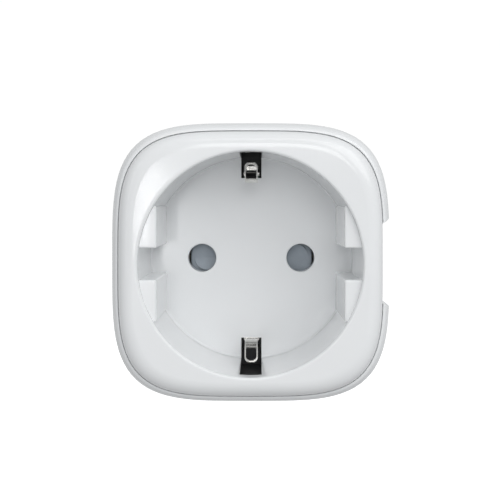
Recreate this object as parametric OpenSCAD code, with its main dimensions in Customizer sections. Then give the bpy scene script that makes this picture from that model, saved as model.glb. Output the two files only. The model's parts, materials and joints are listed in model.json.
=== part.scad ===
// Plug-in power meter: a rounded-square metering plug with an earthed two-pin socket in its front.
// The wall is on the +Y side and the user on the -Y side, with +Z up. The origin is the centre of
// the plug's end face, the face that the two pins stand out of.

/* [Body] */
// Width and height of the rear housing at its widest
body_w = 50.3; // [50.2:0.1:51.4]
// Depth of the rounded body, from the rim of the well to the face around the plug
body_depth = 40.5; // [40.5:0.5:44]
// Width and height of the front cover at the seam
cover_w = 46.2; // [46:0.1:46.6]
// How square the outline is: 2 is a circle, larger is squarer
squareness = 3.9; // [3.7:0.1:4.2]
// Wall thickness of the rear housing
wall = 1.8; // [1.6:0.1:1.9]

/* [Socket] */
// Diameter of the well at its rim
well_rim_d = 39; // [38.8:0.1:39.2]
// Diameter of the well at its floor
well_floor_d = 38.7; // [38.5:0.1:38.8]
// Depth of the well
well_depth = 17.5; // [17.5:0.1:18]
// Thickness of the well's floor
floor_t = 2.2; // [1.8:0.1:2.4]
// Diameter of the two pin holes
hole_d = 5.35; // [5.1:0.05:5.6]
// Distance from the axis to the faces of the side ribs
rib_face = 16.3; // [16:0.1:16.6]
// Width of the gap between the two ribs of a side
rib_gap = 5.5; // [5:0.1:6]
// Turn of the shutter that frees both holes, in degrees
shutter_turn = 40; // [38:1:42]

/* [Plug] */
// Distance between the two pins, and between the two holes
pin_spacing = 19; // [18.9:0.1:19.1]
// Diameter of a pin
pin_d = 4.8; // [4.7:0.05:4.85]
// Length of a pin outside the plug
pin_len = 19; // [18.5:0.5:19.5]
// Depth of the plug that enters the wall outlet
plug_depth = 17.5; // [17:0.5:18]
// Diameter of the plug
plug_d = 37.2; // [36.8:0.1:37.4]

/* [Button] */
// Length of the push button
button_len = 10; // [9:0.5:11]
// Width of the push button
button_w = 6; // [5:0.5:6.5]
// Travel of the push button
button_travel = 0.4; // [0.2:0.1:0.5]

/* [Hidden] */
$fn = 64;

// Depth planes, from the rim at the front to the pin tips at the back
rim_y = -(plug_depth + body_depth);
cover_edge = 2.5;
seam_y = rim_y + cover_edge;
floor_y = rim_y + well_depth;
floor_back_y = floor_y + floor_t;
back_y = -plug_depth;
back_inner_y = back_y - wall;
board_clear = 0.2;
board_back_y = back_inner_y - board_clear;
board_t = 1.6;
board_y = board_back_y - board_t;

outline_points = 72;
skin = 0.01;
eps = 0.05;
edge_steps = 5;
seam_gap = 0.12;
face_half = cover_w / 2 - 1.9;
tongue_half = cover_w / 2 - 1.25;
tongue_t = 1.2;
tongue_depth = 3;
cover_t = 1.7;
well_r = well_floor_d / 2;
tube_r = well_rim_d / 2 + 1.4;
well_edge = 0.5;
front_half = cover_w / 2 + 0.22;
flare_depth = 8;
back_half = body_w / 2 - 0.4;
back_round = 3.2;
back_flat = 2.8;

pin_x = pin_spacing / 2;
screw_at = 16.7;
boss_r = 2.2;
boss_bore = 8;
screw_r = 1.1;
screw_head_r = 2.2;
screw_head_t = 1;
cross_depth = 0.6;
cross_w = 0.6;
cross_len = 2.8;

rib_half_z = 10.15;
rib_below_rim = 1;
rib_root = 0.6;
window_w = 3.9;
window_z = 15.4;
window_below_rim = 2.4;

clip_w = 2.5;
clip_t = 0.45;
clip_rail = 0.35;
strip_z = 16.35;
strip_t = 0.8;
strip_w = 4.2;
strip_end = 0.8;
strip_bed = 1.5;
bed_z = strip_z - strip_t / 2 - strip_bed;
clip_root_y = floor_back_y + 1.3;
holder_w = 5.4;
holder_in = 20.95;
holder_out = 21.7;
holder_t = 0.6;
holder_low_z = window_z - 0.1;
notch_w = clip_w + 0.6;
notch_z = 17.9;

shutter_r = 11.9;
shutter_t = 1.2;
shutter_y = floor_back_y + 0.2;
pad_lift = 0.5;
pad_r = 2.55;
pad_x = pin_x - 0.8;
pivot_r = 1.5;
hub_r = 2.6;
carrier_y = shutter_y + shutter_t + 0.3;
carrier_t = 1.2;
carrier_back_y = carrier_y + carrier_t;
post_z = 13.6;
post_r = 1.4;
post_bore_r = 0.65;
post_screw_r = 0.6;
post_screw_t = 0.8;

contact_front_y = carrier_back_y + 0.2;
contact_back_y = board_y - 2;
contact_w = 5;
contact_t = 0.6;

barrel_wall = 2;
barrel_end_t = 2.2;
flat_x = 15.8;
lug_w = 4.8;
collar_r = 3;
tail_r = 1.2;
sleeve_z = 10;
sleeve_r = 2.5;
sleeve_wall = 0.6;
sleeve_out_r = sleeve_r + sleeve_wall;
sleeve_len = 15.6;
bridge_y = -12.5;
bridge_w = 2.6;
bridge_t = 0.8;

recess_x = 23.1;
recess_wall = 1.1;
recess_back_y = -26.3;
recess_half_z = 7;
recess_side = 1.8;
recess_round = 1.5;
button_y = -33;
button_out = 23.7;
flange_t = 0.6;
flange_lip = 0.7;
button_fit = 0.3;
light_y = -28;
light_r = 0.9;
led_t = 1.1;
light_air = 0.2;

radio_x = 17;
radio_t = 1;
radio_half_z = 9.5;
radio_front_y = -37;
switch_clear = 0.7;
switch_out = recess_x - recess_wall - flange_t - button_travel - switch_clear;
switch_w = 4.5;
switch_plate_t = 0.6;
plunger_in = 1.3;
plunger_r = 1;

relay_at = [-17.8, 0];
relay_size = [8.2, 20.5];
relay_h = 15.2;
relay_base_h = 1.6;
relay_skin = 0.6;
relay_hinge = [-34.2, 8.1];
relay_plate_w = 5;
leg_r = 0.35;
copper_t = 0.7;
eye_r = 2.2;

// Extrudes a shape drawn in X and Z, from one depth plane forward to another
module layer(back, front) {
    translate([0, back, 0]) rotate([90, 0, 0]) linear_extrude(back - front) children();
}

// Extrudes a shape drawn in Y and Z, from one X to another
module sideways(from, to) {
    translate([from, 0, 0]) rotate([90, 0, 90]) linear_extrude(to - from) children();
}

// A round bar along Y
module rod(back, front, r, at = [0, 0]) {
    layer(back, front) translate(at) circle(r);
}

// A box between two opposite corners
module block(low, high) {
    translate(low) cube(high - low);
}

module stadium(length, width) {
    square([width, length - width], center = true);
    for (side = [-1, 1]) translate([0, side * (length - width) / 2]) circle(width / 2);
}

function signed_power(v, p) = sign(v) * pow(abs(v), p);

function superellipse(half) = [for (i = [0 : outline_points - 1])
    let (a = 360 * i / outline_points)
    half * [signed_power(cos(a), 2 / squareness), signed_power(sin(a), 2 / squareness)]];

module squircle(half) {
    polygon(superellipse(half));
}

// Sections of a rounded edge: the outline grows from one half-width to another over a depth
function rounded_edge(y0, y1, half0, half1) = [for (i = [0 : edge_steps])
    let (a = 90 * i / edge_steps)
    [y0 + (y1 - y0) * (1 - cos(a)), half0 + (half1 - half0) * sin(a)]];

// A convex body through outlines at several depths, each given as [y, half-width]
module loft(sections) {
    hull() for (s = sections) layer(s[0], s[0] - skin) squircle(s[1]);
}

// The four housing screws' places in X and Z
module at_screws() {
    for (x = [-1, 1], z = [-1, 1]) translate([x * screw_at, 0, z * screw_at]) children();
}

// A bent strip's outline: the path's points pushed out to both sides by half its thickness
function along(path, i) = let (d = path[min(i + 1, len(path) - 1)] - path[max(i - 1, 0)]) d / norm(d);
function beside(path, i, t) = path[i] + t / 2 * [-along(path, i).y, along(path, i).x];
function ribbon(path, t) = concat(
    [for (i = [0 : len(path) - 1]) beside(path, i, t)],
    [for (i = [len(path) - 1 : -1 : 0]) beside(path, i, -t)]);

// ---- Front cover ----

module cover_skin() {
    difference() {
        loft(rounded_edge(rim_y + skin, seam_y, face_half, cover_w / 2));
        layer(seam_y + eps, rim_y + cover_t) squircle(tongue_half - tongue_t);
    }
}

module cover_tongue() {
    layer(seam_y + tongue_depth, seam_y - eps) difference() {
        squircle(tongue_half);
        squircle(tongue_half - tongue_t);
        square([holder_w + tongue_t, body_w], center = true);
    }
}

// One rib above and one below the gap, from the floor almost to the rim
module well_rib(side) {
    front = rim_y + rib_below_rim;
    intersection() {
        rod(floor_y + eps, front, well_r + rib_root);
        for (up = [-1, 1]) mirror([side > 0 ? 0 : 1, 0, 0]) mirror([0, 0, up > 0 ? 0 : 1])
            block([rib_face, front, rib_gap / 2], [well_r + 2 * rib_root, floor_y + eps, rib_half_z]);
    }
}

module clip_window(up) {
    mirror([0, 0, up > 0 ? 0 : 1]) block(
        [-window_w / 2, rim_y + window_below_rim, window_z],
        [window_w / 2, floor_back_y + eps, holder_in + 8 * eps]);
}

module front_cover() {
    pivot_past = 0.8;
    color("white") {
        difference() {
            union() {
                cover_skin();
                cover_tongue();
                rod(floor_back_y, rim_y + cover_t - eps, tube_r);
                at_screws() rod(board_y - board_clear, rim_y + cover_t - eps, boss_r);
            }
            translate([0, floor_y, 0]) rotate([90, 0, 0])
                cylinder(h = well_depth - well_edge, r1 = well_r, r2 = well_rim_d / 2);
            translate([0, rim_y + well_edge, 0]) rotate([90, 0, 0])
                cylinder(h = well_edge + skin, r1 = well_rim_d / 2, r2 = well_rim_d / 2 + well_edge);
            for (side = [-1, 1]) rod(floor_back_y + eps, floor_y - eps, hole_d / 2, [side * pin_x, 0]);
            for (up = [-1, 1]) clip_window(up);
            at_screws() rod(board_y, board_y - boss_bore, screw_r + eps);
        }
        for (side = [-1, 1]) well_rib(side);
        rod(carrier_back_y + pivot_past, floor_back_y - eps, pivot_r);
        for (up = [-1, 1]) difference() {
            rod(carrier_y, floor_back_y - eps, post_r, [0, up * post_z]);
            rod(carrier_y + eps, shutter_y, post_bore_r, [0, up * post_z]);
        }
    }
}

// ---- Rear housing ----

module housing_outside() {
    loft(concat(
        rounded_edge(seam_y + seam_gap, seam_y + flare_depth, front_half, body_w / 2),
        rounded_edge(back_y, back_y - back_round, back_half - back_flat, back_half)));
}

module housing_inside() {
    inner_round = back_round - wall / 2;
    loft(concat(
        rounded_edge(seam_y - eps, seam_y + flare_depth, tongue_half + seam_gap, body_w / 2 - wall),
        rounded_edge(back_inner_y, back_inner_y - inner_round,
            back_half - wall - inner_round, back_half - wall)));
}

module plug_outline(r, flat, lug) {
    intersection() {
        circle(r);
        union() {
            square([2 * flat, 2 * r], center = true);
            square([2 * r, lug], center = true);
        }
    }
}

// The plug's hollow, with a bed left standing under each earth strip
module plug_hollow() {
    difference() {
        plug_outline(plug_d / 2 - barrel_wall, flat_x - barrel_wall, eps);
        for (up = [-1, 1]) translate([0, up * (bed_z + plug_d / 4)])
            square([strip_w + 2 * strip_bed, plug_d / 2], center = true);
    }
}

module strip_groove(back, front, height) {
    side_gap = 0.1;
    for (up = [-1, 1]) layer(back, front)
        translate([0, up * (strip_z + (height - strip_t) / 2)])
            square([strip_w + 2 * side_gap, height], center = true);
}

// A scoop in the right side, open at the seam, with ends that spread outward
module finger_recess() {
    reach = 3;
    spread = 1.6;
    intersection() {
        sideways(recess_x, recess_x + reach) polygon([
            [rim_y, -recess_half_z - reach],
            [recess_back_y - recess_round, -recess_half_z - reach],
            [recess_back_y, -recess_half_z + recess_round],
            [recess_back_y, recess_half_z - recess_round],
            [recess_back_y - recess_round, recess_half_z + reach],
            [rim_y, recess_half_z + reach]]);
        layer(0, rim_y) polygon([
            [recess_x, -recess_half_z],
            [recess_x + reach, -recess_half_z - spread],
            [recess_x + reach, recess_half_z + spread],
            [recess_x, recess_half_z]]);
    }
}

module rear_housing() {
    inner_x = recess_x - recess_wall;
    color("whitesmoke") difference() {
        union() {
            difference() {
                housing_outside();
                housing_inside();
            }
            intersection() {
                housing_outside();
                block([inner_x, rim_y, -recess_half_z - recess_side],
                    [body_w / 2, recess_back_y + recess_wall, recess_half_z + recess_side]);
            }
            layer(0, back_y - eps) plug_outline(plug_d / 2, flat_x, lug_w);
            at_screws() rod(back_inner_y + eps, board_y + 0.1, boss_r);
        }
        layer(-barrel_end_t, back_inner_y - eps) plug_hollow();
        strip_groove(eps, back_y, plug_d / 2 - strip_z + strip_t);
        strip_groove(back_y + eps, back_inner_y - eps, strip_t + 2 * eps);
        for (up = [-1, 1]) translate([0, bridge_y, up * bed_z])
            cube([bridge_w + 8 * eps, 2 * bridge_t, 4 * strip_bed], center = true);
        finger_recess();
        at_screws() rod(back_y + 1, board_y - 1, screw_r + 0.2);
        at_screws() rod(back_y + 1, back_y - screw_head_t - 0.1, screw_head_r + 0.1);
        for (side = [-1, 1]) rod(eps, -barrel_end_t - eps, collar_r + eps, [side * pin_x, 0]);
        rod(eps, -barrel_end_t - eps, sleeve_r + eps, [0, sleeve_z]);
        sideways(inner_x - eps, recess_x + eps)
            translate([button_y, 0]) stadium(button_len + button_fit, button_w + button_fit);
        sideways(inner_x - eps, recess_x + eps) translate([light_y, 0]) circle(light_r + eps);
    }
}

module housing_screws() {
    thread = 6;
    color("silver") at_screws() difference() {
        union() {
            rod(back_y, back_y - screw_head_t, screw_head_r);
            rod(back_y - screw_head_t + eps, board_y - thread, screw_r);
        }
        for (turn = [0, 90]) rotate([0, turn, 0])
            block([-cross_len / 2, back_y - cross_depth, -cross_w / 2],
                [cross_len / 2, back_y + eps, cross_w / 2]);
    }
}

// ---- Button and light ----

module push_button() {
    inner = recess_x - recess_wall;
    color("white") {
        sideways(inner - eps - flange_t, inner - eps)
            translate([button_y, 0]) stadium(button_len + 2 * flange_lip, button_w + 2 * flange_lip);
        sideways(inner - 2 * eps, button_out) translate([button_y, 0]) stadium(button_len, button_w);
    }
}

module light_guide() {
    color("aliceblue") sideways(radio_x + radio_t + led_t + light_air, recess_x)
        translate([light_y, 0]) circle(light_r);
}

module status_led() {
    led_size = [1.6, 2.4];
    color("lightyellow") sideways(radio_x + radio_t, radio_x + radio_t + led_t)
        translate([light_y, 0]) square(led_size, center = true);
}

module switch_body() {
    color("dimgray") sideways(radio_x + radio_t, switch_out) translate([button_y, 0]) difference() {
        square(switch_w, center = true);
        circle(plunger_r + eps);
    }
    color("silver") sideways(radio_x + radio_t, radio_x + radio_t + switch_plate_t)
        translate([button_y, 0]) square(switch_w, center = true);
}

module switch_plunger() {
    color("black") sideways(radio_x + radio_t + plunger_in, recess_x - recess_wall - flange_t - 2 * eps)
        translate([button_y, 0]) circle(plunger_r);
}

// ---- Shutter and socket contacts ----

module earth_clip(up) {
    // A foot behind the floor, a limb that bows into the well, and a turned-out tip
    path = [
        [clip_root_y - 0.2, strip_z + 1.3],
        [clip_root_y - 0.2, strip_z + 0.55],
        [clip_root_y - 0.5, strip_z + 0.08],
        [floor_y + 1.8, strip_z],
        [floor_y - 1, strip_z - 0.2],
        [floor_y - 4.5, strip_z - 1.1],
        [floor_y - 7, strip_z - 1.65],
        [floor_y - 8.3, strip_z - 1.85],
        [floor_y - 9.2, strip_z - 1.75],
        [floor_y - 10.1, strip_z - 1.2],
        [floor_y - 11.3, strip_z + 0.2],
        [floor_y - 12.4, strip_z + 1.6]];
    tip_z = strip_z + 1.6 - clip_w / 2;
    slot_z = strip_z - 1.3;
    slot_y = floor_y - 9.9;
    slot_half = clip_w / 2 - clip_rail;
    color("silver") mirror([0, 0, up > 0 ? 0 : 1]) difference() {
        intersection() {
            sideways(-clip_w / 2, clip_w / 2) polygon(ribbon(path, clip_t));
            layer(clip_root_y + clip_t, rim_y) {
                translate([-clip_w / 2, 0]) square([clip_w, tip_z]);
                translate([0, tip_z]) circle(clip_w / 2);
            }
        }
        layer(slot_y, rim_y) {
            translate([-slot_half, slot_z]) square([2 * slot_half, tip_z - slot_z]);
            translate([0, tip_z]) circle(slot_half);
        }
    }
}

module earth_clip_top() {
    earth_clip(1);
}

module earth_clip_bottom() {
    earth_clip(-1);
}

// The black angle that closes the space behind a clip's window, with a notch for the clip
module clip_holder(up) {
    shelf_y = floor_back_y + board_clear / 2;
    color("black") mirror([0, 0, up > 0 ? 0 : 1]) {
        block([-holder_w / 2, seam_y + eps, holder_in], [holder_w / 2, shelf_y + holder_t, holder_out]);
        difference() {
            block([-holder_w / 2, shelf_y, holder_low_z],
                [holder_w / 2, shelf_y + holder_t, holder_in + eps]);
            block([-notch_w / 2, shelf_y - eps, holder_low_z - eps],
                [notch_w / 2, shelf_y + holder_t + eps, notch_z]);
        }
    }
}

module clip_holder_top() {
    clip_holder(1);
}

module clip_holder_bottom() {
    clip_holder(-1);
}

module shutter() {
    hub_back_y = carrier_back_y + 0.4;
    notch_r = hole_d / 2 + 0.4;
    color("lightslategray") difference() {
        union() {
            rod(shutter_y + shutter_t, shutter_y + pad_lift, shutter_r);
            rod(hub_back_y, shutter_y + shutter_t - eps, hub_r);
            for (side = [-1, 1]) rod(shutter_y + pad_lift + eps, shutter_y, pad_r, [side * pad_x, 0]);
        }
        rod(hub_back_y + eps, shutter_y - eps, pivot_r + eps);
        for (side = [-1, 1]) rotate([0, side * 90 + shutter_turn, 0])
            rod(shutter_y + shutter_t + eps, shutter_y - eps, notch_r, [0, pin_x]);
    }
}

module shutter_spring() {
    turns = 1.4;
    steps = 34;
    sides = 8;
    wire_r = 0.2;
    end_wire_r = 0.15;
    end_len = 1.6;
    coil_r = 3.3;
    length = 0.9;
    start_y = carrier_y + 0.2;
    function point(i, j) = let (a = 360 * turns * i / steps, b = 360 * j / sides,
        r = coil_r + wire_r * cos(b))
        [r * cos(a), start_y + length * i / steps + wire_r * sin(b), r * sin(a)];
    color("silver") {
        polyhedron(
            [for (i = [0 : steps], j = [0 : sides - 1]) point(i, j)],
            concat(
                [for (i = [0 : steps - 1], j = [0 : sides - 1]) let (k = (j + 1) % sides)
                    each [[i * sides + j, (i + 1) * sides + k, i * sides + k],
                        [i * sides + j, (i + 1) * sides + j, (i + 1) * sides + k]]],
                [[for (j = [0 : sides - 1]) j], [for (j = [sides - 1 : -1 : 0]) steps * sides + j]]));
        translate([coil_r, start_y, -wire_r / 2]) rotate([0, 90, 0]) cylinder(h = end_len, r = end_wire_r);
    }
}

module contact_carrier() {
    plate = [26.6, 30];
    plate_r = 15.4;
    tower = [7, 9.4];
    tower_wall = 0.7;
    spring_room_r = 4;
    leg_slot = [2.4, 0.8];
    color("ivory") difference() {
        union() {
            layer(carrier_back_y, carrier_y) intersection() {
                square(plate, center = true);
                circle(plate_r);
            }
            for (side = [-1, 1]) layer(contact_back_y, carrier_back_y - eps)
                translate([side * pin_x, 0]) square(tower, center = true);
        }
        for (side = [-1, 1]) {
            rod(carrier_back_y + eps, carrier_y - eps, pin_d / 2 + 0.5, [side * pin_x, 0]);
            layer(contact_back_y + eps, carrier_back_y) translate([side * pin_x, 0])
                square(tower - 2 * [tower_wall, tower_wall], center = true);
        }
        rod(carrier_back_y + eps, carrier_y - eps, spring_room_r);
        layer(carrier_back_y + eps, carrier_y - eps)
            translate([spring_room_r, 0]) square(leg_slot, center = true);
        for (up = [-1, 1]) rod(carrier_back_y + eps, carrier_y - eps, post_screw_r + 0.2, [0, up * post_z]);
    }
}

module carrier_screws() {
    color("silver") for (up = [-1, 1]) {
        rod(carrier_back_y + post_screw_t, carrier_back_y, post_r, [0, up * post_z]);
        rod(carrier_back_y + eps, shutter_y + 2 * eps, post_screw_r, [0, up * post_z]);
    }
}

module socket_contact(side) {
    squeeze = 0.15;
    grip = pin_d / 2 + contact_t / 2 - squeeze;
    open = 3.4;
    back = contact_back_y;
    front = contact_front_y;
    half_path = [
        [front, open],
        [front + 2, grip],
        [front + 4.5, grip],
        [back - 3.5, open],
        [back - 0.9, open]];
    path = concat(half_path, [for (i = [len(half_path) - 1 : -1 : 0]) [half_path[i].x, -half_path[i].y]]);
    color("goldenrod") translate([side * pin_x, 0, 0]) {
        sideways(-contact_w / 2, contact_w / 2) polygon(ribbon(path, contact_t));
        block([-1.2, back - 1, -3], [1.2, board_back_y - 0.2, -2.2]);
    }
}

module live_contact() {
    socket_contact(-1);
}

module neutral_contact() {
    socket_contact(1);
}

// ---- Plug ----

module pin_carrier() {
    carrier_h = 28;
    thickness = 3.4;
    gap = 0.2;
    color("ivory") layer(-barrel_end_t - gap / 2, -barrel_end_t - gap / 2 - thickness) difference() {
        intersection() {
            circle(plug_d / 2 - barrel_wall - gap);
            square([2 * (flat_x - barrel_wall - gap), carrier_h], center = true);
        }
        for (side = [-1, 1]) translate([side * pin_x, 0]) circle(tail_r + eps);
        translate([0, sleeve_z]) circle(sleeve_out_r + eps);
    }
}

module plug_pin(side) {
    point = 1.8;
    point_r = pin_d / 2 - 1;
    translate([side * pin_x, 0, 0]) color("lightgray") {
        rod(pin_len - point, -skin, pin_d / 2);
        translate([0, pin_len, 0]) rotate([90, 0, 0]) cylinder(h = point, r1 = point_r, r2 = pin_d / 2);
        rod(0, -barrel_end_t, collar_r);
        rod(-barrel_end_t + eps, board_back_y + eps, tail_r);
    }
}

module live_pin() {
    plug_pin(-1);
}

module neutral_pin() {
    plug_pin(1);
}

// A strip with a narrow tab, which meets the foot of the socket's clip
module plug_earth_strip(up) {
    tab_y = clip_root_y + 0.3;
    tab_len = 3;
    color("silver") mirror([0, 0, up > 0 ? 0 : 1]) {
        block([-clip_w / 2, tab_y, strip_z - strip_t / 2],
            [clip_w / 2, tab_y + tab_len + eps, strip_z + strip_t / 2]);
        block([-strip_w / 2, tab_y + tab_len, strip_z - strip_t / 2],
            [strip_w / 2, -strip_end, strip_z + strip_t / 2]);
    }
}

module plug_earth_strip_top() {
    plug_earth_strip(1);
}

module plug_earth_strip_bottom() {
    plug_earth_strip(-1);
}

module earth_bridge() {
    half = strip_z - strip_t / 2 - 2 * skin;
    ring_w = 1;
    back = bridge_y + bridge_t / 2;
    front = bridge_y - bridge_t / 2;
    color("silver") difference() {
        union() {
            block([-bridge_w / 2, front, -half], [bridge_w / 2, back, half]);
            rod(back, front, sleeve_out_r + ring_w, [0, sleeve_z]);
        }
        rod(back + eps, front - eps, sleeve_out_r + 2 * skin, [0, sleeve_z]);
    }
}

module earth_pin_sleeve() {
    color("goldenrod") difference() {
        rod(-barrel_end_t - eps, -sleeve_len - sleeve_wall, sleeve_out_r, [0, sleeve_z]);
        rod(0, -sleeve_len, sleeve_r, [0, sleeve_z]);
    }
}

// ---- Circuit board and what stands on it ----

// Extrudes a shape drawn in X and Z from the board's front face, by a height
module on_board(at, height, lift = 0) {
    layer(board_y - lift, board_y - lift - height) translate(at) children();
}

module main_board() {
    edge_gap = 1.9;
    boss_gap = 0.4;
    strip_notch = [strip_w + 2 * boss_gap, 8];
    contact_slot = [2.8, 1.2];
    color("seagreen") layer(board_back_y, board_y) difference() {
        squircle(body_w / 2 - wall - edge_gap);
        for (x = [-1, 1], z = [-1, 1]) translate([x, z] * screw_at) circle(boss_r + boss_gap);
        for (up = [-1, 1]) translate([0, up * (strip_z + 3)]) square(strip_notch, center = true);
        for (side = [-1, 1]) translate([side * pin_x, 0]) circle(tail_r + 0.3);
        for (side = [-1, 1]) translate([side * pin_x, -2.6]) square(contact_slot, center = true);
    }
}

module relay_base() {
    color("midnightblue") on_board(relay_at, relay_base_h) square(relay_size, center = true);
}

module relay_cover() {
    color("midnightblue") difference() {
        on_board(relay_at, relay_h - relay_base_h - eps, relay_base_h + eps)
            square(relay_size, center = true);
        on_board(relay_at, relay_h - relay_base_h - relay_skin - eps, relay_base_h)
            square(relay_size - 2 * [relay_skin, relay_skin], center = true);
    }
}

module relay_coil() {
    at = relay_at + [0, 3.8];
    winding_r = 2.9;
    winding_len = 9;
    end_r = 3.2;
    end_t = 0.8;
    core_r = 1;
    core_len = 10.9;
    color("saddlebrown") on_board(at, winding_len, relay_base_h + 1) circle(winding_r);
    color("black") for (lift = [0.2, 1 + winding_len])
        on_board(at, end_t, relay_base_h + lift) circle(end_r);
    color("silver") on_board(at, core_len, relay_base_h + 0.1) circle(core_r);
}

module relay_yoke() {
    at = [relay_at.x, relay_hinge.y];
    top = relay_hinge.x + 0.1;
    color("silver") layer(board_y - relay_base_h, top) translate(at)
        square([relay_plate_w, 1], center = true);
}

// A plate that rocks on the yoke's edge, with a blade that carries the moving contact
module relay_armature() {
    plate_t = 0.8;
    plate_end = -0.5;
    blade_w = 3;
    blade_t = 0.4;
    air = 3;
    color("silver") block([relay_at.x - relay_plate_w / 2, relay_hinge.x - plate_t, plate_end],
        [relay_at.x + relay_plate_w / 2, relay_hinge.x, relay_hinge.y + 0.6]);
    color("goldenrod") block([relay_at.x - blade_w / 2, relay_hinge.x - plate_t, plate_end - blade_t],
        [relay_at.x + blade_w / 2, board_y - relay_base_h - air, plate_end + eps]);
}

module relay_fixed_contact() {
    contact_h = 2.2;
    contact_r = 0.9;
    color("goldenrod") on_board(relay_at - [0, 1], contact_h, relay_base_h) circle(contact_r);
}

module film_capacitor() {
    at = [-8.4, 9.6];
    size = [10, 6];
    height = 12;
    color("gold") on_board(at, height) square(size, center = true);
}

module varistor() {
    at = [-8.4, 16];
    disc_r = 5;
    disc_t = 3.6;
    pitch = 5;
    lift = 6.2;
    color("royalblue") translate([at.x, board_y - lift, at.y])
        cylinder(h = disc_t, r = disc_r, center = true);
    color("silver") for (side = [-1, 1]) on_board(at + [side * pitch / 2, 0], lift / 2) circle(leg_r);
}

module fusible_resistor() {
    at = [12.6, -8.6];
    body_r = 1.7;
    body_len = 9;
    lift = 1.5;
    color("lightskyblue") on_board(at, body_len, lift) circle(body_r);
    color("silver") on_board(at, lift + eps) circle(leg_r);
}

// An electrolytic capacitor that stands on the board, with the groove near its foot
module can_capacitor(at, r, height) {
    groove = 0.25;
    foot_lift = 0.3;
    groove_lift = 1.5;
    can_lift = 2.2;
    color("darkslateblue") {
        on_board(at, groove_lift - foot_lift, foot_lift) circle(r);
        on_board(at, can_lift - groove_lift + 2 * eps, groove_lift - eps) circle(r - groove);
        on_board(at, height - can_lift, can_lift) circle(r);
    }
}

module capacitor_large() {
    can_capacitor([8.3, 10.4], 4, 12);
}

module capacitor_small() {
    can_capacitor([8, 18], 2.5, 11);
}

module inductor() {
    at = [-7.6, -10.6];
    end_r = 4;
    end_t = 1.2;
    winding_r = 3.4;
    winding_len = 6.2;
    color("dimgray") for (lift = [0.2, winding_len + 1]) on_board(at, end_t, lift) circle(end_r);
    color("chocolate") on_board(at, winding_len, end_t) circle(winding_r);
}

module bridge_rectifier() {
    at = [-8, -17.8];
    size = [6.5, 3.6];
    leg = [0.9, 1.2];
    color("black") on_board(at, 2.6, 0.3) square(size, center = true);
    color("silver") for (x = [-1, 1], z = [-1, 1])
        on_board(at + [x * size.x / 5, z * (size.y + 1) / 2], 0.4) square(leg, center = true);
}

// A flat chip with a row of legs on two sides
module chip(at, size, legs) {
    pitch = 1.27;
    leg = [0.45, 1.1];
    color("black") on_board(at, 1.5, 0.15) square(size, center = true);
    color("silver") for (i = [0 : legs - 1], side = [-1, 1])
        on_board(at + [(i - (legs - 1) / 2) * pitch, side * (size.y + 1) / 2], 0.3)
            square(leg, center = true);
}

module supply_chip() {
    chip([6, -9.4], [5, 4], 4);
}

module metering_chip() {
    chip([8, -17.2], [6, 4], 5);
}

// A low bridge of resistance metal that the whole load current passes through
module shunt_resistor() {
    at = [-2.6, -8];
    width = 1.2;
    length = 7;
    height = 3;
    metal_t = 0.6;
    color("silver") difference() {
        on_board(at, height) square([width, length], center = true);
        on_board(at, height - metal_t, -eps) square([2 * width, length - 4 * metal_t], center = true);
    }
}

module radio_board() {
    color("darkgreen") sideways(radio_x, radio_x + radio_t) polygon([
        [radio_front_y, -radio_half_z],
        [radio_front_y, radio_half_z],
        [board_y - 0.1, radio_half_z],
        [board_y - 0.1, -radio_half_z]]);
}

module radio_shield() {
    shield_h = 2.3;
    shield_y = -31.4;
    size = [9, 13];
    color("silver") sideways(radio_x - shield_h, radio_x)
        translate([shield_y, 0]) square(size, center = true);
}

module board_connector() {
    rows = 6;
    pitch = 2;
    half = rows * pitch / 2;
    body = 2;
    color("black") block([radio_x - body - 2 * eps, board_y - body, -half], [radio_x, board_y, half]);
    color("goldenrod") for (i = [0 : rows - 1])
        on_board([radio_x - 1.2, (i - (rows - 1) / 2) * pitch], 0.6, body - 2 * eps) circle(0.3);
}

// A copper strip behind the board, with an eye round the tail of a pin
module pin_strip(side, offset, size) {
    color("peru") layer(board_back_y + copper_t, board_back_y) translate([side * pin_x, 0]) difference() {
        union() {
            translate(offset) square(size, center = true);
            circle(eye_r);
        }
        circle(tail_r + eps);
    }
}

module live_strip() {
    pin_strip(-1, [-1.9, 0], [4.4, 3]);
}

module neutral_strip() {
    pin_strip(1, [0, -2.6], [3.4, 5]);
}

module load_strip() {
    color("peru") on_board([-11, -5.6], copper_t) square([5.2, 1.8], center = true);
}

front_cover();
rear_housing();
housing_screws();
push_button();
light_guide();
status_led();
earth_clip_top();
earth_clip_bottom();
clip_holder_top();
clip_holder_bottom();
shutter();
shutter_spring();
contact_carrier();
carrier_screws();
live_contact();
neutral_contact();
pin_carrier();
live_pin();
neutral_pin();
plug_earth_strip_top();
plug_earth_strip_bottom();
earth_bridge();
earth_pin_sleeve();
main_board();
relay_base();
relay_cover();
relay_coil();
relay_yoke();
relay_armature();
relay_fixed_contact();
film_capacitor();
varistor();
fusible_resistor();
capacitor_large();
capacitor_small();
inductor();
bridge_rectifier();
supply_chip();
metering_chip();
shunt_resistor();
radio_board();
radio_shield();
board_connector();
switch_body();
switch_plunger();
live_strip();
neutral_strip();
load_strip();
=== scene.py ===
# %% [markdown]
# # A plug-in power meter, dressed in Blender
# This lesson starts from a finished engineering model of a rounded-square power meter and gives
# every piece the shape and finish that the eye expects. The engineering model is the frame:
# it says where each piece is and how it moves, and nothing here shifts it. We load it first.

# %% Load the frame
import json
import math

import bmesh
import bpy
from mathutils import Matrix, Vector


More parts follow.
